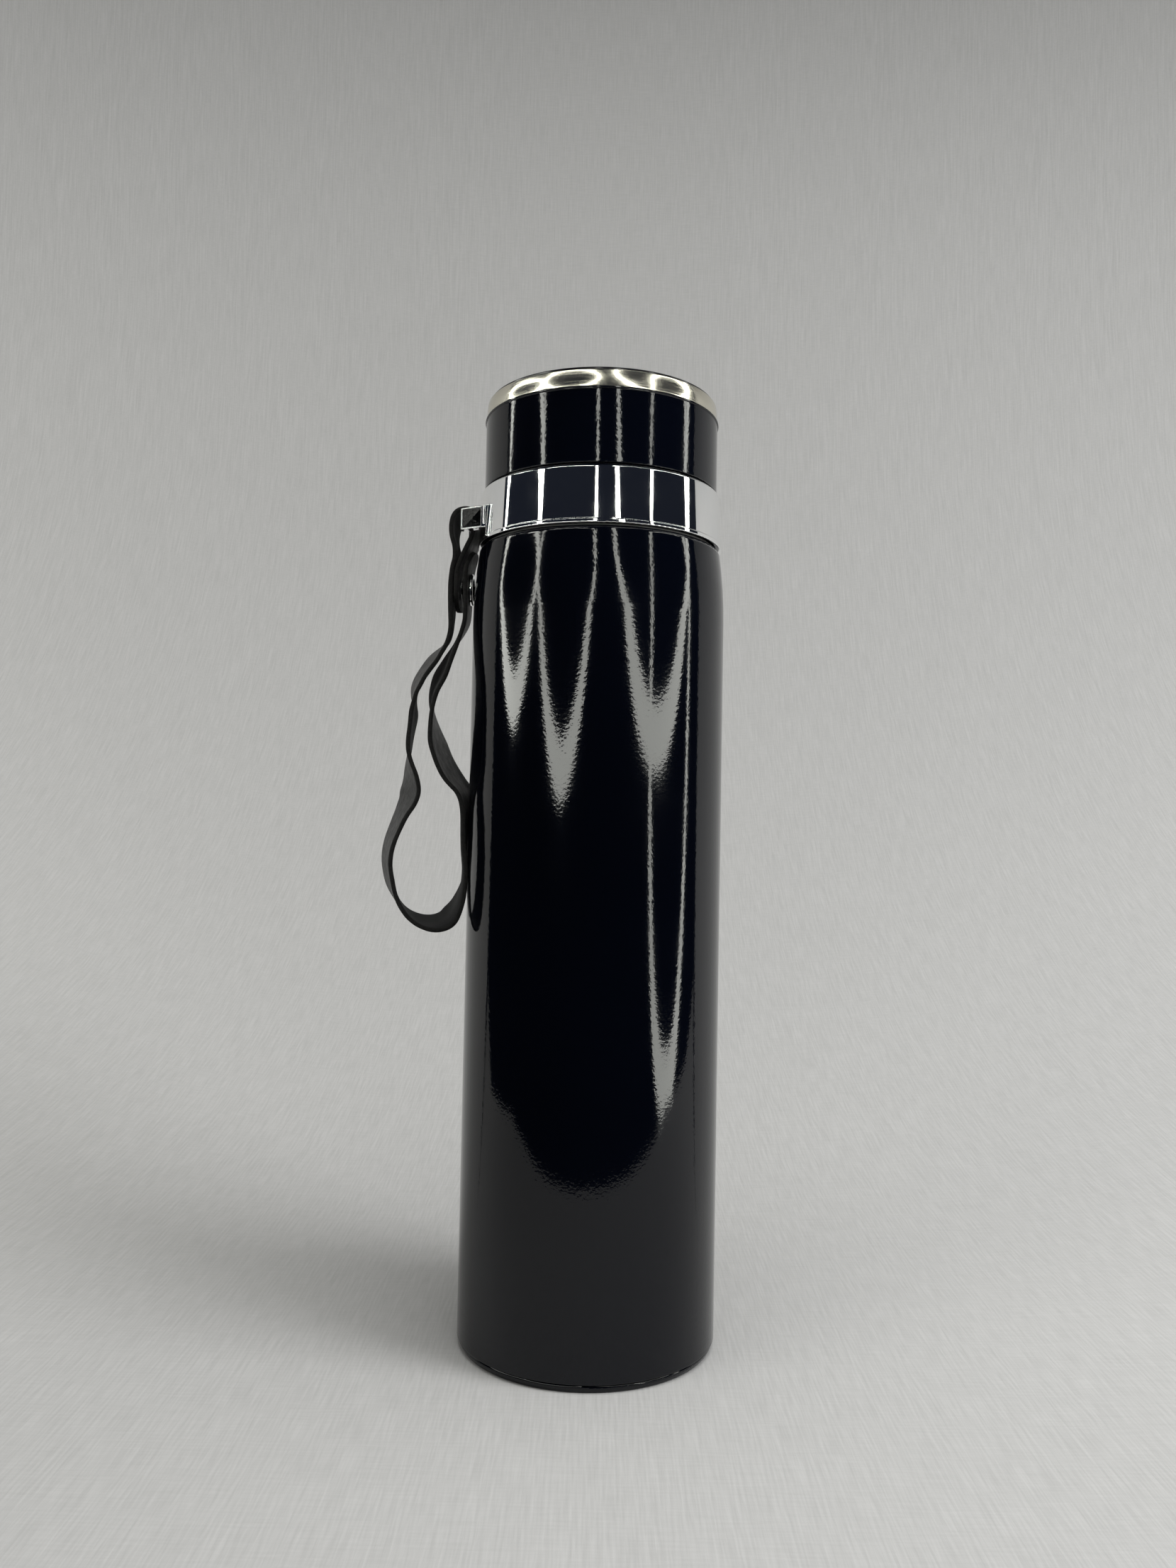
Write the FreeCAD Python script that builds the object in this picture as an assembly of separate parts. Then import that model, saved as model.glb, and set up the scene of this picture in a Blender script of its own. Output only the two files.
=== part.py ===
import FreeCAD, Part
import math
import os

# Double-walled vacuum flask with a screw lid, a chrome collar and a leather wrist strap.
# Millimetres. +Z is up, the origin is the centre of the base, and the strap lug is on -X.

os.makedirs("parts", exist_ok=True)

V = FreeCAD.Vector
UP = V(0, 0, 1)
ALONG_X = V(1, 0, 0)

# ---- driving dimensions -------------------------------------------------------------

BODY_R = 38.0              # outside of the lacquered barrel
SHELL_T = 0.6              # wall of the outer shell
LINER_T = 0.5              # wall of the inner flask
VACUUM_GAP = 2.8           # between the two walls of the barrel
SHELL_FOOT_Z = 2.4         # lower edge of the outer shell, where the base cover begins
SHOULDER_BEND_Z = 223.15   # where the barrel's side leans in
SHOULDER_BEND_R = 143.0    # radius of that long soft bend
SHOULDER_TOP_Z = 234.9     # flat under the collar
SHOULDER_TOP_R = 36.32
NECK_R = 30.0              # outside of the neck, thread root
NECK_TOP_Z = 261.4
RIM_TOP_Z = 262.6          # rolled drinking rim
LINER_FLOOR_Z = 7.0

LEAD = 3.5                 # lid thread, millimetres per turn, right-handed
THREAD_H = 1.0
THREAD_ROOT_W = 1.5
THREAD_CREST_W = 0.8
THREAD_FOOT_Z = 253.8      # centre of the neck ridge where it starts
NECK_TURNS = 1.8
LID_TURNS = 1.2

COLLAR_FOOT_Z = 235.2
COLLAR_TOP_Z = 252.0
COLLAR_FOOT_R = 37.0
COLLAR_TOP_R = 36.1

LID_R = 35.3
LID_T = 0.5
LID_FOOT_Z = 252.4
LID_PLATE_Z = 273.95       # top of the lid shell's plate, with its thin lip
LID_LIP_R = 35.6
TRIM_FOOT_Z = 274.1
TRIM_TOP_Z = 279.0
TRIM_FOOT_R = 34.73
TRIM_WAIST_R = 35.25       # where the slopes of the crowned side would meet
TRIM_WAIST_Z = 276.55
TRIM_CROWN_R = 11.3
TRIM_TOP_R = 34.86
DISC_R = 34.3
DISC_EDGE_Z = 279.75
DISC_CROWN = 0.35

PIVOT_X = -40.43           # centre of the lug's bar, which the strap goes round
PIVOT_Z = 243.1
BAR_W = 1.6
BAR_H = 3.4
LUG_LOW_Z = 238.5
LUG_HIGH_Z = 244.9
LUG_END_HALF_Y = 12.5      # half the lug's width at its outer end
LUG_ROOT_HALF_Y = 16.5     # half the lug's width where the end faces stop
LUG_ROOT_X = -34.2
SLOT_END_HALF_Y = 10.2     # the slot flares with the arms towards the collar
SLOT_ROOT_HALF_Y = 14.05
INSET_DEPTH = 0.7
LUG_RIM = 0.45             # plated rim round the black inserts

STRAP_W = 18.0
STRAP_T = 1.3
ARCH_R = 2.8               # centre line of the strap round the bar
SNAP_Z = 223.0
SNAP_R = 4.9
TAIL_X = -40.0             # centre plane of the strap's tail at the snap
END_X = -42.7              # centre plane of the strap's other end at the snap


# ---- helpers ------------------------------------------------------------------------

def corner(before, point, after, radius):
    """Start, middle and end of the arc that rounds a corner with the given radius."""
    a = (before - point).normalize()
    b = (after - point).normalize()
    half = a.getAngle(b) / 2
    reach = radius / math.tan(half)
    bisector = (a + b).normalize()
    middle = point + bisector * (radius / math.sin(half) - radius)
    return point + a * reach, middle, point + b * reach


def outline(points):
    """Closed wire in the XZ plane through (x, z) or (x, z, corner radius) points."""
    places = [V(p[0], 0, p[1]) for p in points]
    radii = [p[2] if len(p) > 2 else 0 for p in points]
    count = len(points)
    stops = []
    for i in range(count):
        if radii[i] > 0:
            stops.append(corner(places[i - 1], places[i], places[(i + 1) % count], radii[i]))
        else:
            stops.append((places[i],))
    edges = []
    for i in range(count):
        stop = stops[i]
        if len(stop) == 3:
            edges.append(Part.Arc(*stop).toShape())
        start = stop[-1]
        end = stops[(i + 1) % count][0]
        if (end - start).Length > 1e-5:
            edges.append(Part.LineSegment(start, end).toShape())
    return Part.Wire(edges)


def spin(points):
    """Solid of revolution about Z of an outline given as (radius, z, corner radius)."""
    return Part.Face(outline(points)).revolve(V(0, 0, 0), UP, 360)


def spin_about_snap(points):
    """Solid of revolution about the snap's axis, given as (x, radius, corner radius)."""
    lifted = [(p[0], p[1] + SNAP_Z) + tuple(p[2:]) for p in points]
    return Part.Face(outline(lifted)).revolve(V(0, 0, SNAP_Z), ALONG_X, 360)


def slab(points, y_low, y_high):
    """Outline in XZ, extruded from y_low to y_high."""
    face = Part.Face(outline(points))
    face.translate(V(0, y_low, 0))
    return face.extrude(V(0, y_high - y_low, 0))


def box(low, high):
    return Part.makeBox(high[0] - low[0], high[1] - low[1], high[2] - low[2], V(*low))


def thread_ridge(root_r, crest_r, foot_z, turns):
    """Helical ridge with a trapezoid section; its foot sinks a little into the wall."""
    helix = Part.makeHelix(LEAD, LEAD * turns, root_r)
    sunk_r = root_r - math.copysign(0.25, crest_r - root_r)
    section = [
        V(sunk_r, 0, -THREAD_ROOT_W / 2),
        V(crest_r, 0, -THREAD_CREST_W / 2),
        V(crest_r, 0, THREAD_CREST_W / 2),
        V(sunk_r, 0, THREAD_ROOT_W / 2),
    ]
    profile = Part.makePolygon(section + section[:1])
    ridge = Part.Wire(helix).makePipeShell([profile], True, True)
    ridge.translate(V(0, 0, foot_z))
    return ridge


def save(name, shape):
    shape = shape.removeSplitter()
    shape.exportStep("parts/" + name + ".step")
    box_ = shape.BoundBox
    print(name, "valid", shape.isValid(), "solids", len(shape.Solids), "mm3", round(shape.Volume, 1),
          "z", round(box_.ZMin, 2), round(box_.ZMax, 2))


# ---- double-walled flask --------------------------------------------------------------

def outer_shell():
    t = SHELL_T
    lean = (BODY_R - SHOULDER_TOP_R) / (SHOULDER_TOP_Z - SHOULDER_BEND_Z)
    inner_top_r = SHOULDER_TOP_R - t + lean * t
    wall = spin([
        (BODY_R - t, SHELL_FOOT_Z),
        (BODY_R, SHELL_FOOT_Z, 0.25),
        (BODY_R, SHOULDER_BEND_Z, SHOULDER_BEND_R),
        (SHOULDER_TOP_R, SHOULDER_TOP_Z, 1.6),
        (NECK_R, SHOULDER_TOP_Z, 1.2),
        (NECK_R, NECK_TOP_Z),
        (NECK_R - t, NECK_TOP_Z),
        (NECK_R - t, SHOULDER_TOP_Z - t, 1.8),
        (inner_top_r, SHOULDER_TOP_Z - t, 1.0),
        (BODY_R - t, SHOULDER_BEND_Z, SHOULDER_BEND_R - t),
    ])
    ridge = thread_ridge(NECK_R, NECK_R + THREAD_H, THREAD_FOOT_Z, NECK_TURNS)
    return wall.fuse(ridge)


def inner_flask():
    t = LINER_T
    outer_r = BODY_R - SHELL_T - VACUUM_GAP
    neck_r = NECK_R - SHELL_T - 0.8
    return spin([
        (0, LINER_FLOOR_Z),
        (outer_r, LINER_FLOOR_Z, 8.5),
        (outer_r, 224.13, 12.5),
        (neck_r, 234.63, 5.5),
        (neck_r, NECK_TOP_Z + 0.05),
        (NECK_R, NECK_TOP_Z + 0.05),
        (NECK_R, RIM_TOP_Z, 0.6),
        (neck_r - t, RIM_TOP_Z, 0.6),
        (neck_r - t, 234.5, 6.0),
        (outer_r - t, 224.0, 12.0),
        (outer_r - t, LINER_FLOOR_Z + t, 8.0),
        (0, LINER_FLOOR_Z + t),
    ])


def outer_bottom():
    """Pressed disc that closes the shell, with a dimple where the flask was evacuated."""
    edge_r = BODY_R - SHELL_T
    return spin([
        (1.2, 3.55),
        (5.0, 3.55, 1.0),
        (7.0, 4.3, 1.0),
        (edge_r, 4.3, 0.8),
        (edge_r, 2.6),
        (edge_r - 0.6, 2.6),
        (edge_r - 0.6, 3.7, 0.3),
        (7.4, 3.7, 1.0),
        (5.4, 2.95, 1.0),
        (1.2, 2.95),
    ])


def vacuum_seal():
    """Bead that closes the evacuation hole."""
    return spin([(0, 2.45), (2.4, 2.45, 0.4), (2.4, 2.93), (1.15, 2.93), (1.15, 3.9, 0.3), (0, 3.9)])


def getter_capsule():
    """Gas absorber held on the floor of the inner flask, inside the vacuum."""
    capsule = spin([(0, 5.6), (6.0, 5.6, 0.5), (6.0, 6.6), (7.0, 6.6), (7.0, 6.98), (0, 6.98)])
    capsule.translate(V(15, 0, 0))
    return capsule


def base_cover():
    """Lacquered cap under the shell, with a rolled edge and a recess for the pad."""
    return spin([
        (33.2, 0),
        (36.9, 0, 0.9),
        (37.95, 2.3, 0.8),
        (0, 2.3),
        (0, 1.25),
        (33.2, 1.25),
    ])


def base_pad():
    return spin([(0, 0), (33.0, 0, 0.3), (33.0, 1.2), (0, 1.2)])


# ---- collar, its carrier and the strap lug ---------------------------------------------

def collar_side(extra=0.0):
    """Outer side of the collar from its foot lip to its top edge."""
    return [
        (COLLAR_FOOT_R + extra, COLLAR_FOOT_Z, 0.3),
        (COLLAR_FOOT_R + extra, COLLAR_FOOT_Z + 1.0, 0.2),
        (COLLAR_FOOT_R - 0.2 + extra, COLLAR_FOOT_Z + 1.3, 0.2),
        (COLLAR_TOP_R + extra, COLLAR_TOP_Z - 0.7, 0.5),
        (COLLAR_TOP_R - 0.7 + extra, COLLAR_TOP_Z, 0.4),
    ]


def collar_ring():
    return spin(collar_side() + [(31.9, 252.0, 0.3), (31.9, 250.9), (34.6, 250.9, 0.6), (35.3, 235.2)])


def collar_carrier():
    """Plastic ring, snapped on the neck, that the plated collar is glued to."""
    return spin([
        (30.35, 236.4, 0.3),
        (34.9, 236.4, 0.3),
        (34.9, 237.8, 0.3),
        (31.8, 237.8, 0.4),
        (31.8, 250.6, 0.3),
        (30.35, 250.6, 0.3),
    ])


def collar_seal():
    """Silicone washer between the shoulder and the carrier."""
    return spin([(31.8, 234.95), (34.3, 234.95), (34.3, 236.35), (31.8, 236.35)])


def plan(points, low_z, high_z):
    """Outline in XY, extruded from low_z to high_z."""
    wire = Part.makePolygon([V(x, y, low_z) for x, y in points + points[:1]])
    return Part.Face(wire).extrude(V(0, 0, high_z - low_z))


def fan(outer_x, outer_half_y, root_half_y):
    """Symmetric four-sided plan that widens from the lug's outer end to the collar."""
    root_x = -30.0
    slope = (root_half_y - outer_half_y) / (LUG_ROOT_X - outer_x)
    root_y = outer_half_y + slope * (root_x - outer_x)
    return [(outer_x, -outer_half_y), (root_x, -root_y), (root_x, root_y), (outer_x, outer_half_y)]


def on_front_end(shape):
    """Moves a shape drawn against y = 0 on to the slanting front end face of the lug."""
    end_x = PIVOT_X - BAR_W / 2
    angle = math.degrees(math.atan2(LUG_END_HALF_Y - LUG_ROOT_HALF_Y, LUG_ROOT_X - end_x))
    shape.rotate(V(0, 0, 0), UP, angle)
    shape.translate(V(end_x, -LUG_END_HALF_Y, 0))
    return shape


def mirrored(shape):
    return shape.mirror(V(0, 0, 0), V(0, 1, 0))


def inset_face():
    """The black insert's outline on an end face: the square, less its plated rim."""
    low = LUG_LOW_Z + LUG_RIM
    high = LUG_HIGH_Z - LUG_RIM
    return [(LUG_RIM, low), (7.2, low), (7.2, high), (LUG_RIM, high)]


def strap_lug():
    end_x = PIVOT_X - BAR_W / 2
    slot_x = PIVOT_X + BAR_W / 2
    bar_low_z = PIVOT_Z - BAR_H / 2
    bar_high_z = PIVOT_Z + BAR_H / 2
    arms = plan(fan(end_x, LUG_END_HALF_Y, LUG_ROOT_HALF_Y), LUG_LOW_Z, LUG_HIGH_Z)
    edges = [e for e in arms.Edges if e.BoundBox.XMax < end_x + 0.01]
    arms = arms.makeFillet(0.4, edges)
    slot = plan(fan(slot_x, SLOT_END_HALF_Y, SLOT_ROOT_HALF_Y), LUG_LOW_Z - 1, LUG_HIGH_Z + 1)
    half_y = SLOT_END_HALF_Y
    below_bar = box((end_x - 1, -half_y, LUG_LOW_Z - 1), (slot_x + 0.1, half_y, bar_low_z))
    above_bar = box((end_x - 1, -half_y, bar_high_z), (slot_x + 0.1, half_y, LUG_HIGH_Z + 1))
    lug = arms.cut(slot).cut(below_bar).cut(above_bar)
    strip = spin([(31, 235.7), (37.6, 235.7, 0.3), (37.1, 245.2, 0.3), (31, 245.2)])
    strip = strip.common(box((-40, -17.3, 235), (-28, -14.9, 246)))
    lug = lug.fuse(strip).fuse(mirrored(strip))
    recess = on_front_end(slab(inset_face(), -2, INSET_DEPTH))
    reveal = on_front_end(slab([(8.1, 239.5), (8.7, 239.5), (8.7, 246), (8.1, 246)], -2, 0.9))
    lug = lug.cut(recess).cut(mirrored(recess)).cut(reveal).cut(mirrored(reveal))
    collar_space = spin([
        (0, COLLAR_FOOT_Z),
        (COLLAR_FOOT_R, COLLAR_FOOT_Z),
        (COLLAR_FOOT_R, COLLAR_FOOT_Z + 1.3),
        (COLLAR_FOOT_R - 0.2, COLLAR_FOOT_Z + 1.3),
        (COLLAR_TOP_R, COLLAR_TOP_Z - 0.7),
        (0, COLLAR_TOP_Z - 0.7),
    ])
    return lug.cut(collar_space)


def lug_inset():
    """Black insert with four shallow facets that meet in a sunken centre."""
    flat = inset_face()
    back = [V(u, INSET_DEPTH, z) for u, z in flat]
    front = [V(u, 0.2, z) for u, z in flat]
    centre = V(sum(p[0] for p in flat) / 4, 0.5, sum(p[1] for p in flat) / 4)
    faces = [Part.Face(Part.makePolygon(back + back[:1]))]
    for i in range(4):
        j = (i + 1) % 4
        faces.append(Part.Face(Part.makePolygon([back[i], back[j], front[j], front[i], back[i]])))
        faces.append(Part.Face(Part.makePolygon([front[i], front[j], centre, front[i]])))
    return on_front_end(Part.makeSolid(Part.makeShell(faces)))


# ---- lid ------------------------------------------------------------------------------

def lid_shell():
    inner_r = LID_R - LID_T
    return spin([
        (34.5, LID_FOOT_Z, 0.2),
        (LID_R, LID_FOOT_Z, 0.35),
        (LID_R, 273.3, 0.2),
        (LID_LIP_R, 273.5, 0.1),
        (LID_LIP_R, LID_PLATE_Z, 0.15),
        (0, LID_PLATE_Z),
        (0, LID_PLATE_Z - LID_T),
        (inner_r, LID_PLATE_Z - LID_T, 0.8),
        (inner_r, LID_FOOT_Z + 0.5),
        (34.5, LID_FOOT_Z + 0.5),
    ])


def lid_liner():
    """Plastic inner lid with the thread, a gasket seat and a short centring rib."""
    cup = spin([
        (31.4, 253.0, 0.4),
        (34.4, 253.0, 0.3),
        (34.4, 254.6, 0.3),
        (33.2, 254.6, 0.4),
        (33.2, 266.4, 0.6),
        (0, 266.4),
        (0, 264.5),
        (26.0, 264.5, 0.3),
        (26.0, 261.6, 0.4),
        (27.3, 261.6, 0.4),
        (27.3, 264.5),
        (31.4, 264.5),
    ])
    ridge = thread_ridge(31.4, 31.4 - THREAD_H, THREAD_FOOT_Z + LEAD / 2, LID_TURNS)
    return cup.fuse(ridge)


def lid_gasket():
    return spin([(27.6, 262.75, 0.3), (31.1, 262.75, 0.4), (31.1, 264.35, 0.3), (27.6, 264.35, 0.3)])


def lid_insulation():
    return spin([(0, 266.6), (33.6, 266.6, 1.0), (33.6, 273.2, 1.0), (0, 273.2)])


def trim_carrier():
    """Plastic hoop on the lid shell that the trim ring and the top disc are glued to."""
    return spin([(30.5, 274.05), (33.9, 274.05, 0.3), (33.9, 277.1), (30.5, 277.1, 0.3)])


def trim_ring():
    """Steel band with a crowned outer side, hooked over the carrier."""
    return spin([
        (34.05, TRIM_FOOT_Z),
        (TRIM_FOOT_R, TRIM_FOOT_Z, 0.2),
        (TRIM_WAIST_R, TRIM_WAIST_Z, TRIM_CROWN_R),
        (TRIM_TOP_R, TRIM_TOP_Z, 0.35),
        (34.35, TRIM_TOP_Z, 0.1),
        (34.35, 277.9),
        (32.6, 277.9),
        (32.6, 277.2),
        (34.05, 277.2),
    ])


def top_disc():
    """Black plate in the trim ring, a little proud of it and slightly crowned."""
    edge = DISC_EDGE_Z
    crown_r = (DISC_R ** 2 + DISC_CROWN ** 2) / (2 * DISC_CROWN)
    disc = spin([(0, 277.95), (DISC_R, 277.95), (DISC_R, edge + 1, 0), (0, edge + 1)])
    ball = Part.makeSphere(crown_r, V(0, 0, edge + DISC_CROWN - crown_r))
    disc = disc.common(ball)
    rim = [e for e in disc.Edges if abs(e.BoundBox.ZMin - edge) < 0.02 and e.BoundBox.XLength > 60]
    return disc.makeFillet(0.35, rim)


# ---- strap and its snap fastener ---------------------------------------------------------

arch_left_x = PIVOT_X - ARCH_R
arch_right_x = PIVOT_X + ARCH_R
arch_top_z = PIVOT_Z + ARCH_R

# Centre line in the XZ plane, from the tail's tip, down the side by the flask, round the
# bottom, up the outer side, over the lug's bar and down through its slot to the other end.
STRAP_ROUTE = [
    (-37.7, 234.3), (-39.95, 230.1), (-40.03, 222.6), (-39.99, 214.9), (-42.6, 207.4),
    (-48.4, 197.6), (-50.2, 187.4), (-48.3, 177.8), (-43.4, 167.2), (-39.9, 157.6),
    (-39.2, 146.0), (-39.35, 134.6), (-42.8, 125.0), (-51.0, 120.7), (-59.0, 124.2),
    (-63.2, 132.8), (-63.6, 142.5), (-60.0, 152.2), (-56.3, 162.6), (-57.4, 173.0),
    (-55.6, 184.6), (-55.4, 195.2), (-51.2, 203.2), (-46.8, 209.6), (-44.95, 218.0),
    (-45.0, 226.5), (-43.1, 233.2), (-43.7, 239.4), (arch_left_x, arch_top_z),
    (arch_right_x, arch_top_z), (-37.63, 239.2), (-40.4, 233.4), (-42.65, 227.9),
    (-42.72, 222.2), (-42.69, 216.4),
]


def route_turns(route):
    """Turn in radians at each inner point, positive to the left of travel."""
    turns = [0.0] * len(route)
    for i in range(1, len(route) - 1):
        (ax, az), (bx, bz), (cx, cz) = route[i - 1:i + 2]
        first = math.atan2(bz - az, bx - ax)
        second = math.atan2(cz - bz, cx - bx)
        turns[i] = (second - first + math.pi) % (2 * math.pi) - math.pi
    return turns


def route_radii(route, turns):
    """As large an arc as the two runs allow; round the bar it is the bar's own arc."""
    radii = [0.0] * len(route)
    for i in range(1, len(route) - 1):
        run = min(math.dist(route[i - 1], route[i]), math.dist(route[i], route[i + 1]))
        radii[i] = 0.45 * run / math.tan(abs(turns[i]) / 2)
        if route[i][1] == arch_top_z:
            radii[i] = ARCH_R - 0.05
    return radii


def route_side(route, turns, radii, offset):
    """The route shifted sideways to its left by offset, with its corner radii."""
    side = []
    last = len(route) - 1
    for i, (x, z) in enumerate(route):
        x0, z0 = route[max(i - 1, 0)]
        x1, z1 = route[min(i + 1, last)]
        if 0 < i < last:
            back = math.atan2(z - z0, x - x0)
            heading = back + turns[i] / 2
            reach = offset / math.cos(turns[i] / 2)
            radius = radii[i] - math.copysign(1, turns[i]) * offset
        else:
            heading = math.atan2(z1 - z0, x1 - x0)
            reach = offset
            radius = 0
        side.append((x - math.sin(heading) * reach, z + math.cos(heading) * reach, radius))
    return side


def route_length(route, turns, radii):
    length = sum(math.dist(a, b) for a, b in zip(route, route[1:]))
    for turn, radius in zip(turns, radii):
        length -= 2 * radius * math.tan(abs(turn) / 2) - radius * abs(turn)
    return length


def snap_hole(x_low, x_high, radius):
    return Part.makeCylinder(radius, x_high - x_low, V(x_low, 0, SNAP_Z), ALONG_X)


def strap():
    turns = route_turns(STRAP_ROUTE)
    radii = route_radii(STRAP_ROUTE, turns)
    left = route_side(STRAP_ROUTE, turns, radii, STRAP_T / 2)
    right = route_side(STRAP_ROUTE, turns, radii, -STRAP_T / 2)
    band = slab(left + right[::-1], -STRAP_W / 2, STRAP_W / 2)
    length = route_length(STRAP_ROUTE, turns, radii)
    print("strap length", round(length, 1), "volume over section",
          round(band.Volume / (STRAP_T * STRAP_W), 1))
    print("strap radii", [round(r, 1) for r in radii[1:-1]])
    band = band.cut(snap_hole(TAIL_X - 1.2, TAIL_X + 1.2, 1.3))
    return band.cut(snap_hole(END_X - 1.2, END_X + 1.2, 0.95))


def snap_cap():
    """Dished cap with a rolled rim on the tail's face, and its shank through the leather."""
    face_x = TAIL_X + STRAP_T / 2 + 0.05
    back_x = TAIL_X - STRAP_T / 2 - 0.05
    return spin_about_snap([
        (face_x + 0.35, 0),
        (face_x + 0.35, 3.3, 0.5),
        (face_x + 1.1, 3.7, 0.3),
        (face_x + 1.1, SNAP_R, 0.5),
        (face_x, SNAP_R, 0.3),
        (face_x, 1.2),
        (back_x, 1.2),
        (back_x, 1.7),
        (back_x - 0.25, 1.7),
        (back_x - 0.25, 0),
    ])


def snap_socket():
    front_x = TAIL_X - STRAP_T / 2 - 0.05
    return spin_about_snap([
        (front_x, 1.85), (front_x, 4.1, 0.2), (front_x - 0.75, 3.8, 0.2), (front_x - 0.75, 1.85, 0.1),
    ])


def snap_stud():
    foot_x = END_X + STRAP_T / 2 + 0.05
    return spin_about_snap([
        (foot_x, 0.9), (foot_x, 3.1), (foot_x + 0.3, 3.1), (foot_x + 0.3, 1.5), (foot_x + 0.85, 1.65, 0.2),
        (foot_x + 0.85, 0.9),
    ])


def snap_post():
    back_x = END_X - STRAP_T / 2 - 0.05
    tip_x = END_X + STRAP_T / 2 + 0.8
    return spin_about_snap([
        (tip_x, 0), (tip_x, 0.85), (back_x, 0.85), (back_x, 3.6), (back_x - 0.4, 3.6, 0.2),
        (back_x - 0.4, 0),
    ])


# ---- write every piece --------------------------------------------------------------------

PIECES = {
    "outer_shell": outer_shell,
    "inner_flask": inner_flask,
    "outer_bottom": outer_bottom,
    "vacuum_seal": vacuum_seal,
    "getter_capsule": getter_capsule,
    "base_cover": base_cover,
    "base_pad": base_pad,
    "collar_ring": collar_ring,
    "collar_carrier": collar_carrier,
    "collar_seal": collar_seal,
    "strap_lug": strap_lug,
    "lid_shell": lid_shell,
    "lid_liner": lid_liner,
    "lid_gasket": lid_gasket,
    "lid_insulation": lid_insulation,
    "trim_carrier": trim_carrier,
    "trim_ring": trim_ring,
    "top_disc": top_disc,
    "strap": strap,
    "snap_cap": snap_cap,
    "snap_socket": snap_socket,
    "snap_stud": snap_stud,
    "snap_post": snap_post,
}

for name, build in PIECES.items():
    save(name, build())

save("lug_inset_front", lug_inset())
save("lug_inset_rear", mirrored(lug_inset()))
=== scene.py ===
import math

import bpy
import numpy as np
from mathutils import Matrix, Vector


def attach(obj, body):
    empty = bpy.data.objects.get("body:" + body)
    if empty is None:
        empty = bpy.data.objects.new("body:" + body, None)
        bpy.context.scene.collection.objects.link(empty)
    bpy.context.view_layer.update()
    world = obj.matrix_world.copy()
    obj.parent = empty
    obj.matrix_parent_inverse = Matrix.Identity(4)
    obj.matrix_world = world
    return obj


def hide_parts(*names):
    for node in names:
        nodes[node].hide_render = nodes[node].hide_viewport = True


# Looks of a tall vacuum flask: black lacquer, plated collar, steel trim ring and a leather wrist strap.
# Metres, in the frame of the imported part: +Z is up, and the strap lug is on -X.

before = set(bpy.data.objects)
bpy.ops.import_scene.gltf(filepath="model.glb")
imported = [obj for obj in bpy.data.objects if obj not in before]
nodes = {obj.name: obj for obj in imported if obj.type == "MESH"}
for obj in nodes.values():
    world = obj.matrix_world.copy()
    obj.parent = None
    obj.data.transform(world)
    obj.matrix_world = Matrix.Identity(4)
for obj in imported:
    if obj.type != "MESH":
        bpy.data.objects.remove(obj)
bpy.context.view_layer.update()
scene = bpy.context.scene


# ---- camera --------------------------------------------------------------------------

CAMERA_PLACE = (0, -0.3668, 0.1491)
CAMERA_LENS = 27.79                                    # millimetres, on a sensor 36 mm wide
CAMERA_YAW, CAMERA_PITCH, CAMERA_ROLL = -0.0060, 0.0419, 0.0191      # radians


def make_camera():
    """The camera at the photo's viewing angle: almost level, just in front of the flask."""
    yaw, pitch, roll = CAMERA_YAW, CAMERA_PITCH, CAMERA_ROLL
    ahead = Vector((math.sin(yaw) * math.cos(pitch), math.cos(yaw) * math.cos(pitch), math.sin(pitch)))
    side = ahead.cross(Vector((0, 0, 1))).normalized()
    up = side.cross(ahead)
    right = math.cos(roll) * side + math.sin(roll) * up
    top = math.cos(roll) * up - math.sin(roll) * side
    data = bpy.data.cameras.new("camera")
    data.sensor_width = 36
    data.lens = CAMERA_LENS
    data.clip_start = 0.01
    camera = bpy.data.objects.new("camera", data)
    turn = Matrix((right, top, -ahead)).transposed().to_4x4()
    camera.matrix_world = Matrix.Translation(CAMERA_PLACE) @ turn
    scene.collection.objects.link(camera)
    scene.camera = camera


make_camera()


# ---- strap ---------------------------------------------------------------------------

STRAP_W = 0.018
STRAP_T = 0.0013

TAIL_ROUND = 0.008          # how far the rounding of the tail's tip reaches along the strap
END_ROUND = 0.005           # the same at the other end
TAIL_TIP = 0.10             # share of the width that is left at the tail's tip
END_TIP = 0.25              # the same at the other end
CROWN = 0.00012             # how far the leather's edges stand above its middle everywhere
SPLINE_STEPS = 24           # points between two control points
SMOOTH_STEPS = 17           # points over which twists and bent edges ease in
SEARCH_STEPS = 60           # how far ahead the nearest point to a control point is sought
GRAIN, SUEDE, EDGE = 0, 1, 2            # the strap's material slots

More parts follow.
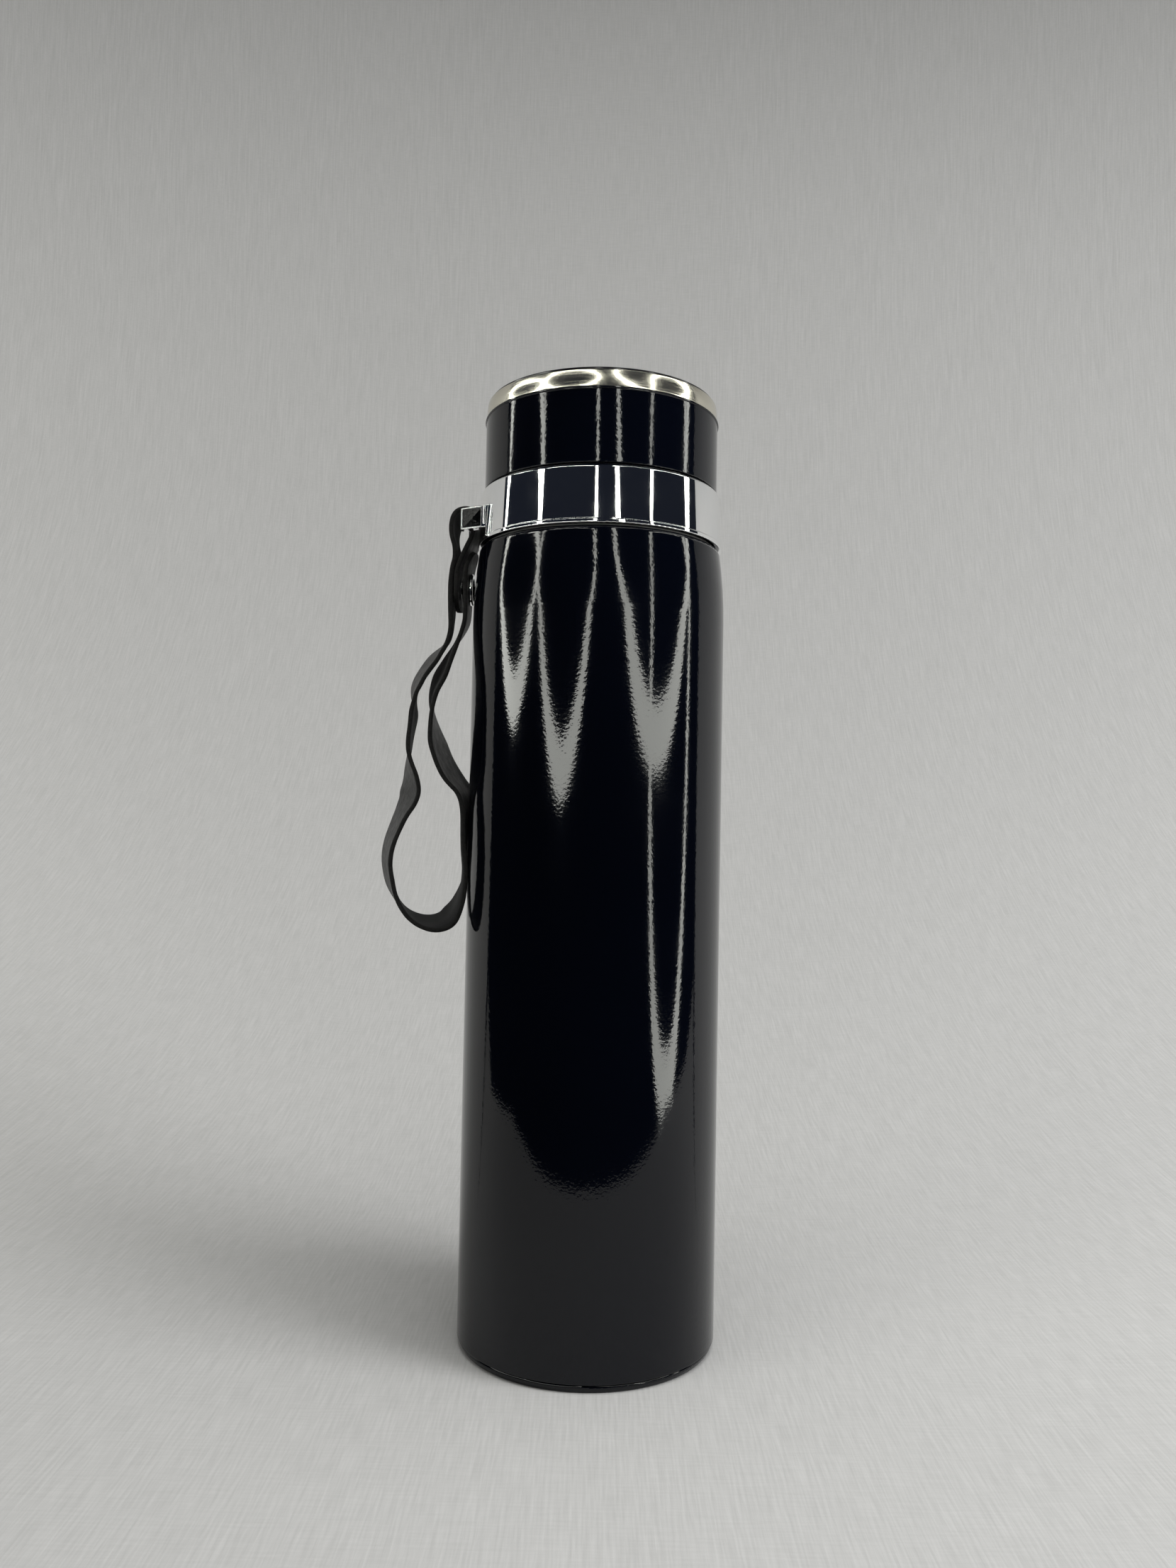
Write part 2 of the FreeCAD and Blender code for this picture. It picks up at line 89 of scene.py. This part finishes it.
# The strap's line in the plane y = 0 as control points (x, z, twist), from the tail's tip down the
# side by the flask, round the bottom, up the outer side and over the lug's bar to the other end. The
# twist, in degrees, turns the edge at +y outwards, away from the inside of the loop.
ROUTE = [
    (-0.03770, 0.23430, 0), (-0.03995, 0.23010, 0), (-0.04003, 0.22260, 0), (-0.03999, 0.21490, -2),
    (-0.04100, 0.21080, -6), (-0.04810, 0.19680, -20), (-0.05060, 0.18850, -11), (-0.04840, 0.17600, 9),
    (-0.04440, 0.16600, 12), (-0.03870, 0.15980, 8), (-0.03920, 0.14550, 2), (-0.03860, 0.13500, -4),
    (-0.04320, 0.12370, -20), (-0.04960, 0.12120, -8), (-0.05740, 0.12500, 6), (-0.06185, 0.13360, 15),
    (-0.06300, 0.14310, 17), (-0.05880, 0.15400, 19), (-0.05530, 0.16110, 27), (-0.05725, 0.17300, 7),
    (-0.05530, 0.18550, 3), (-0.05550, 0.19360, 17), (-0.05000, 0.20180, 18), (-0.04500, 0.20750, 8),
    (-0.04497, 0.21700, 3), (-0.04505, 0.22680, 2), (-0.04260, 0.23280, 0), (-0.04490, 0.23950, 0),
    (-0.04355, 0.24570, 0), (-0.03763, 0.24620, 0), (-0.03763, 0.23920, 0), (-0.04040, 0.23340, 0),
    (-0.04265, 0.22790, 0), (-0.04272, 0.22220, 0), (-0.04269, 0.21640, 0),
]

# How far the edges bend out along the strap's outward side, as (route point, metres).
CUPS = [(7, 0.0), (9, 0.0009), (12, 0.0009), (13, 0.0),
        (22, 0.0), (24, -0.0004), (25, -0.0004), (26, 0.0)]


def spline_line(points):
    """The points of the smooth line that the control points make."""
    curve = bpy.data.curves.new("line", "CURVE")
    curve.dimensions = "3D"
    spline = curve.splines.new("NURBS")
    spline.points.add(len(points) - 1)
    for point, (x, z) in zip(spline.points, points):
        point.co = (x, 0, z, 1)
    spline.order_u = 3
    spline.use_endpoint_u = True
    spline.resolution_u = SPLINE_STEPS
    holder = bpy.data.objects.new("line", curve)
    mesh = bpy.data.meshes.new_from_object(holder)
    line = np.array([v.co for v in mesh.vertices])
    bpy.data.meshes.remove(mesh)
    bpy.data.objects.remove(holder)
    bpy.data.curves.remove(curve)
    return line


def smooth_noise(at, wavelength, seed):
    """Smooth random curve from -1 to 1 along positions in metres."""
    knots = int(at[-1] / wavelength) + 4
    values = np.random.default_rng(seed).uniform(-1, 1, knots)
    t = at / wavelength
    i = np.clip(t.astype(int), 0, knots - 2)
    w = t - i
    w = w * w * (3 - 2 * w)
    return values[i] * (1 - w) + values[i + 1] * w


def strap_section():
    """(across, depth, slot) round the strap, with across and depth from -1 to 1."""
    flat = np.linspace(-0.955, 0.955, 15)
    edge = [(0.985, 0.82), (1.0, 0.35), (1.0, -0.35), (0.985, -0.82)]
    section = [(u, 1.0, GRAIN) for u in flat]
    section += [(u, d, EDGE) for u, d in edge]
    section += [(u, -1.0, SUEDE) for u in flat[::-1]]
    section += [(-u, -d, EDGE) for u, d in edge]
    return section


def route_places(line, along):
    """Where along the line each control point of the route lies nearest."""
    # The two overlapping ends run close together, so each point looks only ahead of the last one.
    places = []
    start = 0
    for x, z, twist in ROUTE:
        window = line[start:start + SEARCH_STEPS]
        start += int(np.argmin(np.hypot(window[:, 0] - x, window[:, 2] - z)))
        places.append(along[start])
    return places


def eased(values):
    """Values along the line, smoothed so that they change gently."""
    kernel = np.hanning(SMOOTH_STEPS)
    kernel /= kernel.sum()
    return np.convolve(np.pad(values, SMOOTH_STEPS // 2, mode="edge"), kernel, mode="valid")


def rounded_tip(distance, reach, least):
    """Share of the full width at a distance from a rounded tip that is least wide at its very end."""
    t = np.clip(distance / reach, 0, 1)
    return least + (1 - least) * np.sqrt(1 - (1 - t) ** 2)


def ragged_edge(half, along, seed):
    """Half width along the strap with the unevenness of a hand-cut edge."""
    waves = 0.00012 * smooth_noise(along, 0.006, seed)
    nicks = 0.00006 * smooth_noise(along, 0.0009, 9 + seed)
    return half + waves + nicks


def strap_mesh(line, along):
    """Closed ribbon round the line, in the slots grain, suede and edge."""
    places = route_places(line, along)
    twists = np.radians(np.interp(along, places, [twist for x, z, twist in ROUTE]))
    cups = np.interp(along, [places[i] for i, depth in CUPS], [depth for i, depth in CUPS])
    twists, cups = eased(twists), eased(cups)
    tangent = np.gradient(line, along, axis=0)
    tangent /= np.linalg.norm(tangent, axis=1)[:, None]
    outward = np.stack([-tangent[:, 2], np.zeros(len(line)), tangent[:, 0]], axis=1)
    turn_cos, turn_sin = np.cos(twists)[:, None], np.sin(twists)[:, None]
    across = turn_cos * np.array([0, 1, 0]) + turn_sin * outward
    normal = turn_cos * outward - turn_sin * np.array([0, 1, 0])
    half = np.full(len(line), STRAP_W / 2)
    half *= rounded_tip(along, TAIL_ROUND, TAIL_TIP)
    half *= rounded_tip(along[-1] - along, END_ROUND, END_TIP)
    left, right = ragged_edge(half, along, 1), ragged_edge(half, along, 2)
    thick = STRAP_T / 2 * (1 + 0.05 * smooth_noise(along, 0.004, 3))
    section = strap_section()
    count = len(section)
    verts = []
    for i, p in enumerate(line):
        for u, d, slot in section:
            reach = right[i] if u > 0 else left[i]
            cup = CROWN * (u * u - 0.4) + cups[i] * max(0.0, 2 * abs(u) - 1) ** 2
            verts.append(p + across[i] * u * reach + normal[i] * (d * thick[i] + cup))
    faces = []
    slots = []
    for i in range(len(line) - 1):
        for j in range(count):
            k = (j + 1) % count
            faces.append((i * count + j, i * count + k, (i + 1) * count + k, (i + 1) * count + j))
            slots.append(max(section[j][2], section[k][2]))
    faces.append(tuple(range(count))[::-1])
    faces.append(tuple((len(line) - 1) * count + j for j in range(count)))
    slots += [EDGE, EDGE]
    mesh = bpy.data.meshes.new("wrist_strap")
    mesh.from_pydata([tuple(v) for v in verts], [], faces)
    mesh.validate()
    for polygon, slot in zip(mesh.polygons, slots):
        polygon.material_index = slot
        polygon.use_smooth = True
    mesh.update()
    return mesh


def make_strap():
    """The leather strap, which stands in for the plain one of the CAD."""
    line = spline_line([(x, z) for x, z, twist in ROUTE])
    steps = np.linalg.norm(np.diff(line, axis=0), axis=1)
    along = np.concatenate([[0], np.cumsum(steps)])
    strap = bpy.data.objects.new("wrist_strap", strap_mesh(line, along))
    scene.collection.objects.link(strap)
    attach(strap, "strap")
    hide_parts("strap")
    return strap


strap = make_strap()


# ---- material helpers ----------------------------------------------------------------

class Finish:
    """A node material with one Principled shader. Constants go on the shader's own sockets."""

    def __init__(self, name, **constants):
        self.material = bpy.data.materials.new(name)
        self.material.use_nodes = True
        self.tree = self.material.node_tree
        self.tree.nodes.clear()
        out = self.tree.nodes.new("ShaderNodeOutputMaterial")
        self.shader = self.tree.nodes.new("ShaderNodeBsdfPrincipled")
        self.link(self.shader.outputs["BSDF"], out.inputs["Surface"])
        for socket, value in constants.items():
            self.shader.inputs[socket.replace("_", " ")].default_value = value
        self.place = self.tree.nodes.new("ShaderNodeTexCoord").outputs["Object"]

    def link(self, source, target):
        self.tree.links.new(source, target)

    def stretched(self, scale):
        """Object coordinates with each axis scaled by its own factor."""
        node = self.tree.nodes.new("ShaderNodeMapping")
        node.inputs["Scale"].default_value = scale
        self.link(self.place, node.inputs["Vector"])
        return node.outputs["Vector"]

    def noise(self, scale, detail=2.0, rough=0.5, stretch=None, distortion=0.0):
        """Noise from 0 to 1, with scale waves per metre."""
        node = self.tree.nodes.new("ShaderNodeTexNoise")
        node.inputs["Scale"].default_value = scale
        node.inputs["Detail"].default_value = detail
        node.inputs["Roughness"].default_value = rough
        node.inputs["Distortion"].default_value = distortion
        self.link(self.stretched(stretch) if stretch else self.place, node.inputs["Vector"])
        return node.outputs["Fac"]

    def cells(self, scale, feature="F1"):
        """Distance to the nearest cell's centre or edge, with scale cells per metre."""
        node = self.tree.nodes.new("ShaderNodeTexVoronoi")
        node.feature = feature
        node.inputs["Scale"].default_value = scale
        self.link(self.place, node.inputs["Vector"])
        return node.outputs["Distance"]

    def ramp(self, source, low, high, low_value, high_value):
        """Maps source from low..high to low_value..high_value, clamped."""
        node = self.tree.nodes.new("ShaderNodeMapRange")
        node.inputs["From Min"].default_value = low
        node.inputs["From Max"].default_value = high
        node.inputs["To Min"].default_value = low_value
        node.inputs["To Max"].default_value = high_value
        self.link(source, node.inputs["Value"])
        return node.outputs["Result"]

    def maths(self, operation, a, b):
        """Sum, product or the like of two sockets or of a socket and a number."""
        node = self.tree.nodes.new("ShaderNodeMath")
        node.operation = operation
        for socket, value in zip(node.inputs, (a, b)):
            if isinstance(value, (int, float)):
                socket.default_value = value
            else:
                self.link(value, socket)
        return node.outputs["Value"]

    def colour(self, source, low, high, low_colour, high_colour):
        """Base colour that runs from low_colour to high_colour as source goes from low to high."""
        node = self.tree.nodes.new("ShaderNodeValToRGB")
        first, last = node.color_ramp.elements
        first.position, last.position = low, high
        first.color = (*low_colour, 1)
        last.color = (*high_colour, 1)
        self.link(source, node.inputs["Fac"])
        self.link(node.outputs["Color"], self.shader.inputs["Base Color"])

    def rough(self, source, low, high, low_value, high_value):
        """Roughness that runs from low_value to high_value as source goes from low to high."""
        self.link(self.ramp(source, low, high, low_value, high_value), self.shader.inputs["Roughness"])

    def bump(self, *layers, round_edges=0.0):
        """Layers of (height, depth in metres), each on top of the last, over rounded edges."""
        below = None
        if round_edges:
            node = self.tree.nodes.new("ShaderNodeBevel")
            node.samples = 6
            node.inputs["Radius"].default_value = round_edges
            below = node.outputs["Normal"]
        for height, depth in layers:
            node = self.tree.nodes.new("ShaderNodeBump")
            node.inputs["Distance"].default_value = depth
            self.link(height, node.inputs["Height"])
            if below is not None:
                self.link(below, node.inputs["Normal"])
            below = node.outputs["Normal"]
        self.link(below, self.shader.inputs["Normal"])


# ---- finishes ------------------------------------------------------------------------

def lacquer():
    """Deep blue-black stoving enamel: near mirror, with a fine orange peel and a few dust nibs."""
    f = Finish("body_lacquer", IOR=1.40)
    f.colour(f.noise(9, 3), 0.3, 0.7, (0.0006, 0.0010, 0.0026), (0.0010, 0.0016, 0.0040))
    f.rough(f.noise(45, 4, 0.6), 0.40, 0.75, 0.050, 0.085)
    nibs = f.ramp(f.cells(160), 0.0, 0.035, 1.0, 0.0)
    f.bump((f.noise(1200, 1.0, 0.5), 0.0000130), (f.noise(28, 1, 0.3), 0.00005), (nibs, 0.00001))
    return f.material


def chrome(name, wave=0.00006, round_edges=0.0):
    """Bright plating with a slight wave and fine wiping scratches."""
    f = Finish(name, Metallic=1.0)
    f.colour(f.noise(60, 3), 0.3, 0.7, (0.88, 0.89, 0.90), (0.95, 0.95, 0.94))
    f.rough(f.noise(120, 5, 0.7), 0.35, 0.75, 0.02, 0.07)
    scratches = f.ramp(f.noise(900, 2, 0.5, (0.12, 0.12, 1.6), 0.6), 0.60, 0.72, 0.0, 1.0)
    f.bump((f.noise(55, 1, 0.3, (1, 1, 0.35)), wave), (scratches, 0.0000015), round_edges=round_edges)
    return f.material


def turned_steel():
    """Warm polished steel, turned round the ring with fine lathe lines."""
    f = Finish("trim_steel", Metallic=1.0)
    f.colour(f.noise(50, 3), 0.3, 0.7, (0.64, 0.61, 0.52), (0.76, 0.73, 0.63))
    lines = f.noise(1, 3, 0.6, (60, 60, 9000))
    f.rough(lines, 0.35, 0.65, 0.09, 0.24)
    f.bump((lines, 0.0000006), (f.noise(60, 1, 0.3, (1, 1, 0.4)), 0.00002))
    return f.material


def drawn_steel():
    """Plain drawn stainless steel of the inner flask."""
    f = Finish("stainless_steel", Metallic=1.0)
    f.colour(f.noise(30, 3), 0.3, 0.7, (0.48, 0.47, 0.45), (0.62, 0.61, 0.59))
    lines = f.noise(1, 3, 0.6, (80, 80, 5000))
    f.rough(lines, 0.3, 0.7, 0.22, 0.38)
    f.bump((lines, 0.000002))
    return f.material


def inset_black():
    """Black facets with a fine crackle under gloss."""
    f = Finish("inset_black", IOR=1.5, Specular_IOR_Level=0.08)
    crackle = f.cells(1300, "DISTANCE_TO_EDGE")
    f.colour(f.noise(900, 4, 0.7), 0.45, 0.80, (0.0012, 0.0015, 0.0018), (0.0090, 0.0100, 0.0105))
    f.rough(f.noise(700, 3), 0.3, 0.7, 0.06, 0.16)
    f.bump((crackle, 0.00002), (f.noise(1100, 2), 0.000012))
    return f.material


def plastic(name, low, high, rough_low, rough_high, grain=0.000006, **constants):
    """Moulded plastic or rubber with a fine spark texture."""
    f = Finish(name, **constants)
    f.colour(f.noise(140, 4, 0.6), 0.3, 0.7, low, high)
    f.rough(f.noise(300, 3), 0.3, 0.7, rough_low, rough_high)
    f.bump((f.noise(1800, 3, 0.6), grain))
    return f.material


def leather_grain():
    """Smooth black leather: fine pebbled grain, soft grey sheen, a few creases."""
    f = Finish("strap_leather", IOR=1.45, Specular_IOR_Level=0.34,
               Sheen_Weight=0.05, Sheen_Roughness=0.5)
    f.colour(f.noise(260, 4, 0.65), 0.3, 0.72, (0.0030, 0.0033, 0.0033), (0.0090, 0.0093, 0.0090))
    pebbles = f.cells(1500)
    pores = f.noise(3800, 2, 0.6)
    f.rough(f.noise(420, 4, 0.65), 0.3, 0.7, 0.40, 0.60)
    f.bump((f.noise(150, 3, 0.5), 0.00012), (pebbles, 0.00006), (pores, 0.00002))
    return f.material


def leather_suede():
    """Flesh side: matt, darker, with short nap."""
    f = Finish("strap_suede", IOR=1.4, Specular_IOR_Level=0.15,
               Sheen_Weight=0.10, Sheen_Roughness=0.6)
    f.colour(f.noise(900, 5, 0.75), 0.3, 0.72, (0.0020, 0.0022, 0.0025), (0.0085, 0.0088, 0.0094))
    f.rough(f.noise(800, 3), 0.3, 0.7, 0.82, 0.98)
    f.bump((f.noise(220, 3, 0.6), 0.00010), (f.noise(2600, 4, 0.8), 0.00010))
    return f.material


def leather_edge():
    """Cut edge: fibrous, a little lighter and browner than the faces."""
    f = Finish("strap_edge", IOR=1.4, Specular_IOR_Level=0.2,
               Sheen_Weight=0.06, Sheen_Roughness=0.6)
    f.colour(f.noise(1500, 4, 0.7), 0.35, 0.75, (0.0022, 0.0022, 0.0024), (0.0160, 0.0150, 0.0140))
    f.rough(f.noise(900, 3), 0.3, 0.7, 0.75, 0.95)
    f.bump((f.noise(2200, 4, 0.8), 0.00014))
    return f.material


def foam():
    """White closed-cell foam."""
    f = Finish("white_foam", IOR=1.3)
    f.colour(f.cells(900), 0.1, 0.7, (0.72, 0.72, 0.70), (0.86, 0.86, 0.84))
    f.rough(f.noise(300, 3), 0.3, 0.7, 0.80, 0.95)
    f.bump((f.cells(900), 0.0001))
    return f.material


def solder():
    """Dull solder of the vacuum seal."""
    f = Finish("seal_solder", Metallic=1.0)
    f.colour(f.noise(800, 3), 0.3, 0.7, (0.40, 0.40, 0.41), (0.55, 0.55, 0.56))
    f.rough(f.noise(500, 3), 0.3, 0.7, 0.35, 0.55)
    f.bump((f.noise(900, 3), 0.00008))
    return f.material


# Finishes by the slot name in the frame. The lug goes by its node's name and has its own plating,
# with a bevel in its bump, because its edges are rounder than its mesh.
FINISHES = {
    "body_lacquer": lacquer(),
    "stainless_steel": drawn_steel(),
    "trim_steel": turned_steel(),
    "collar_chrome": chrome("collar_chrome"),
    "snap_chrome": chrome("snap_chrome", 0.00002),
    "strap_lug": chrome("lug_chrome", 0.00002, 0.00030),
    "inset_black": inset_black(),
    "disc_black": plastic("disc_black", (0.006, 0.006, 0.007), (0.011, 0.011, 0.012),
                          0.10, 0.22, 0.000002),
    "black_plastic": plastic("black_plastic", (0.010, 0.010, 0.011), (0.020, 0.020, 0.021),
                             0.38, 0.52),
    "liner_plastic": plastic("liner_plastic", (0.030, 0.030, 0.032), (0.045, 0.045, 0.047),
                             0.32, 0.46),
    "white_foam": foam(),
    "silicone": plastic("silicone", (0.62, 0.62, 0.60), (0.74, 0.74, 0.72), 0.42, 0.60),
    "pad_rubber": plastic("pad_rubber", (0.014, 0.014, 0.014), (0.026, 0.026, 0.026),
                          0.70, 0.88, 0.00003),
    "seal_solder": solder(),
}


def paint_nodes():
    """Gives each slot its finish. The slot of the strap that is replaced keeps its own material."""
    for node in nodes.values():
        for place in node.material_slots:
            slot = place.material.name.split(".")[0]
            place.material = FINISHES.get(node.name) or FINISHES.get(slot, place.material)


for finish in (leather_grain(), leather_suede(), leather_edge()):
    strap.data.materials.append(finish)
paint_nodes()


# ---- floor and backdrop ----------------------------------------------------------------

def cloth():
    """Pale grey studio fabric with a fine weave."""
    f = Finish("studio_cloth", Specular_IOR_Level=0.1)
    warp = f.noise(1, 2, 0.5, (1300, 60, 40))
    weft = f.maths("MULTIPLY", f.noise(1, 2, 0.5, (90, 1100, 1100)), 0.4)
    weave = f.maths("ADD", warp, weft)
    f.colour(weave, 0.45, 0.95, (0.405, 0.405, 0.400), (0.470, 0.470, 0.465))
    f.rough(f.noise(20, 2), 0.3, 0.7, 0.85, 0.95)
    f.bump((weave, 0.00006))
    return f.material


# Front edge of the cloth under the object, from the right wing to the left, as (x, y).
CLOTH_EDGE = [(0.970, 0.181), (0.50, 0.00), (0.34, -0.15), (0.25, -0.17), (0.16, -0.20),
              (0.08, -0.219), (0.0, -0.225), (-0.08, -0.212), (-0.16, -0.19), (-0.24, -0.168),
              (-0.32, -0.13), (-0.40, 0.02), (-0.956, 0.219)]

# The cove is a quarter of an ellipse in section, and half an ellipse seen from above.
COVE_DEPTH = 0.75           # how far back its wall stands
COVE_REACH = 1.0            # how far to the sides its walls stand
COVE_RISE = 0.60            # height at which the curve has become upright
COVE_TOP = 1.6
COVE_FOOT = 0.14            # share of the way out at which the curve leaves the table
COVE_LIFT = 0.0002          # keeps the ends clear of the table and the near cloth
WALL_TURNS = (-73, 76)      # turns of the cove's wall at full height, in degrees from +Y to +X
END_TURNS = 40              # how much further each end goes as it sinks to the table


def stage_piece(name, verts, faces, material):
    """A piece of the stage, which is no part of the object."""
    mesh = bpy.data.meshes.new(name)
    mesh.from_pydata(verts, [], faces)
    mesh.shade_smooth()
    mesh.materials.append(material)
    piece = bpy.data.objects.new(name, mesh)
    scene.collection.objects.link(piece)
    return piece


def cove(name, turns, heights, material, lift=0.0, from_centre=False):
    """Part of the cloth that rises from the table at the given turns.

    Each turn has its own share of the full height. The part starts where the curve leaves the table,
    or with flat cloth from the centre outwards.
    """
    rows = [(0.0, 0.0)] if from_centre else []
    for k in np.linspace(COVE_FOOT, 1, 40):
        t = (k - COVE_FOOT) / (1 - COVE_FOOT)
        rows.append((k, COVE_RISE * (1 - math.sqrt(max(0.0, 1 - t ** 2)))))
    rows.append((1.0, COVE_TOP))
    angles = np.radians(turns)
    verts = [(COVE_REACH * k * math.sin(t), COVE_DEPTH * k * math.cos(t), z * h + lift)
             for k, z in rows for t, h in zip(angles, heights)]
    n = len(angles)
    faces = [(i * n + j, (i + 1) * n + j, (i + 1) * n + j + 1, i * n + j + 1)
             for i in range(len(rows) - 1) for j in range(n - 1)]
    return stage_piece(name, verts, faces, material)


def table_edge(x, y):
    """Outer edge of the table for a point of the cloth's edge; the ends grow less to the sides."""
    return x * 2.6 if abs(x) < 0.9 else x * 1.6, y * 2.6 - 0.9, 0


def make_sweep():
    """Cloth that lies under the object and curves up round its back and sides, and the table in front.

    The cove's ends and the table don't show in reflections, so those end where the cloth ends.
    """
    material = cloth()
    left, right = WALL_TURNS
    cove("sweep", np.linspace(left, right, 61), np.ones(61), material, from_centre=True)
    ease = 0.5 + 0.5 * np.cos(np.linspace(0, math.pi, 25))
    ends = [cove("sweep_left", np.linspace(left, left - END_TURNS, 25), ease, material, COVE_LIFT),
            cove("sweep_right", np.linspace(right, right + END_TURNS, 25), ease, material, COVE_LIFT)]
    for end in ends:
        end.visible_diffuse = False
        end.visible_shadow = False
    count = len(CLOTH_EDGE)
    edge = [(x, y, 0) for x, y in CLOTH_EDGE]
    fan = [(0, i + 1, i) for i in range(1, count)]
    stage_piece("near_cloth", [(0, 0, 0)] + edge, fan, material)
    strip = [(i, i + 1, count + i + 1, count + i) for i in range(count - 1)]
    table = stage_piece("table", edge + [table_edge(x, y) for x, y in CLOTH_EDGE], strip, material)
    for piece in (*ends, table):
        piece.visible_glossy = False


make_sweep()


# ---- lights --------------------------------------------------------------------------

LAMP_COLOUR = (0.985, 1.0, 0.935)
LOOP_STEPS = 96


def lamp_finish(strength):
    """Plain glow."""
    material = bpy.data.materials.new("lamp_glow")
    material.use_nodes = True
    tree = material.node_tree
    tree.nodes.clear()
    out = tree.nodes.new("ShaderNodeOutputMaterial")
    glow = tree.nodes.new("ShaderNodeEmission")
    glow.inputs["Strength"].default_value = strength
    glow.inputs["Color"].default_value = (*LAMP_COLOUR, 1)
    tree.links.new(glow.outputs["Emission"], out.inputs["Surface"])
    return material


def loop_lamp(name, centre, half_width, half_height, side_band, foot_band, strength,
              powers=(2.0, 2.0)):
    """Upright loop lamp that faces the object and that only reflections see.

    The bands are how wide the glowing strip is at the sides and at top and foot. The powers say how
    square the upper half and the lower half are: 2 is an ellipse.
    """
    side = Vector((-centre[1], centre[0], 0)).normalized()
    count = LOOP_STEPS
    verts = []
    for grow in (-0.5, 0.5):
        for i in range(count):
            angle = 2 * math.pi * i / count
            c, s = math.cos(angle), math.sin(angle)
            power = powers[0] if s > 0 else powers[1]
            u = math.copysign(abs(c) ** (2 / power), c) * (half_width + grow * side_band)
            v = math.copysign(abs(s) ** (2 / power), s) * (half_height + grow * foot_band)
            verts.append(Vector(centre) + side * u + Vector((0, 0, v)))
    faces = [(i, (i + 1) % count, count + (i + 1) % count, count + i) for i in range(count)]
    mesh = bpy.data.meshes.new(name)
    mesh.from_pydata(verts, [], faces)
    mesh.materials.append(lamp_finish(strength))
    lamp = bpy.data.objects.new(name, mesh)
    lamp.visible_camera = False
    lamp.visible_diffuse = False
    lamp.visible_shadow = False
    lamp.visible_transmission = False
    scene.collection.objects.link(lamp)


loop_lamp("lamp_far_left", (-0.4865, -0.1170, 0.368), 0.183, 0.130, 0.022, 0.040, 11.0,
          powers=(3.0, 1.7))
loop_lamp("lamp_near_left", (-0.2710, -0.4790, 0.430), 0.268, 0.236, 0.024, 0.045, 9.0,
          powers=(2.6, 1.75))
loop_lamp("lamp_right", (0.3550, -0.2770, 0.611), 0.368, 0.401, 0.034, 0.045, 9.0)
loop_lamp("lamp_low_right", (0.6910, -0.2900, 0.359), 0.272, 0.422, 0.034, 0.060, 8.0,
          powers=(3.0, 2.4))


def soft_light(name, place, target, size, watts, colour=(1, 1, 1)):
    """Soft disc light that aims at a target and doesn't show in reflections."""
    data = bpy.data.lights.new(name, "AREA")
    data.shape = "DISK"
    data.size = size
    data.energy = watts
    data.color = colour
    light = bpy.data.objects.new(name, data)
    light.location = place
    light.rotation_euler = (Vector(target) - Vector(place)).to_track_quat("-Z", "Y").to_euler()
    light.visible_glossy = False
    scene.collection.objects.link(light)


soft_light("soft_left", (-0.70, -0.50, 0.60), (0, 0.05, 0.05), 0.5, 1.6, (1.0, 0.985, 0.93))
soft_light("soft_right", (0.70, -0.35, 0.62), (0.05, 0.10, 0.05), 0.5, 6.8)
soft_light("soft_top", (0.10, -0.20, 0.95), (0.05, 0.05, 0.0), 0.7, 5.8, (1.0, 0.995, 0.97))
soft_light("wing_left", (-0.45, -0.20, 0.45), (-1.00, 0.18, 0.22), 0.3, 2.0, (1.0, 0.99, 0.95))
soft_light("wing_right", (0.50, -0.25, 0.45), (1.00, 0.15, 0.22), 0.3, 1.3)


# Background by the kind of ray, each over the ones before it, as (ray, colour, strength).
SKY = [
    (None, (0.62, 0.62, 0.61), 0.25),                       # dim fill
    ("Is Glossy Ray", (0.010, 0.012, 0.018), 1.0),          # dark room behind the camera
    ("Is Camera Ray", (0.62, 0.62, 0.61), 0.90),            # pale backdrop
]


def make_world():
    """World with a sky for each kind of ray."""
    world = bpy.data.worlds.new("studio")
    world.use_nodes = True
    tree = world.node_tree
    tree.nodes.clear()
    out = tree.nodes.new("ShaderNodeOutputWorld")
    path = tree.nodes.new("ShaderNodeLightPath")
    below = None
    for ray, colour, strength in SKY:
        sky = tree.nodes.new("ShaderNodeBackground")
        sky.inputs["Color"].default_value = (*colour, 1)
        sky.inputs["Strength"].default_value = strength
        shader = sky.outputs["Background"]
        if ray:
            mix = tree.nodes.new("ShaderNodeMixShader")
            tree.links.new(path.outputs[ray], mix.inputs["Fac"])
            tree.links.new(below, mix.inputs[1])
            tree.links.new(shader, mix.inputs[2])
            shader = mix.outputs["Shader"]
        below = shader
    tree.links.new(below, out.inputs["Surface"])
    scene.world = world


make_world()
scene.view_settings.view_transform = "Standard"
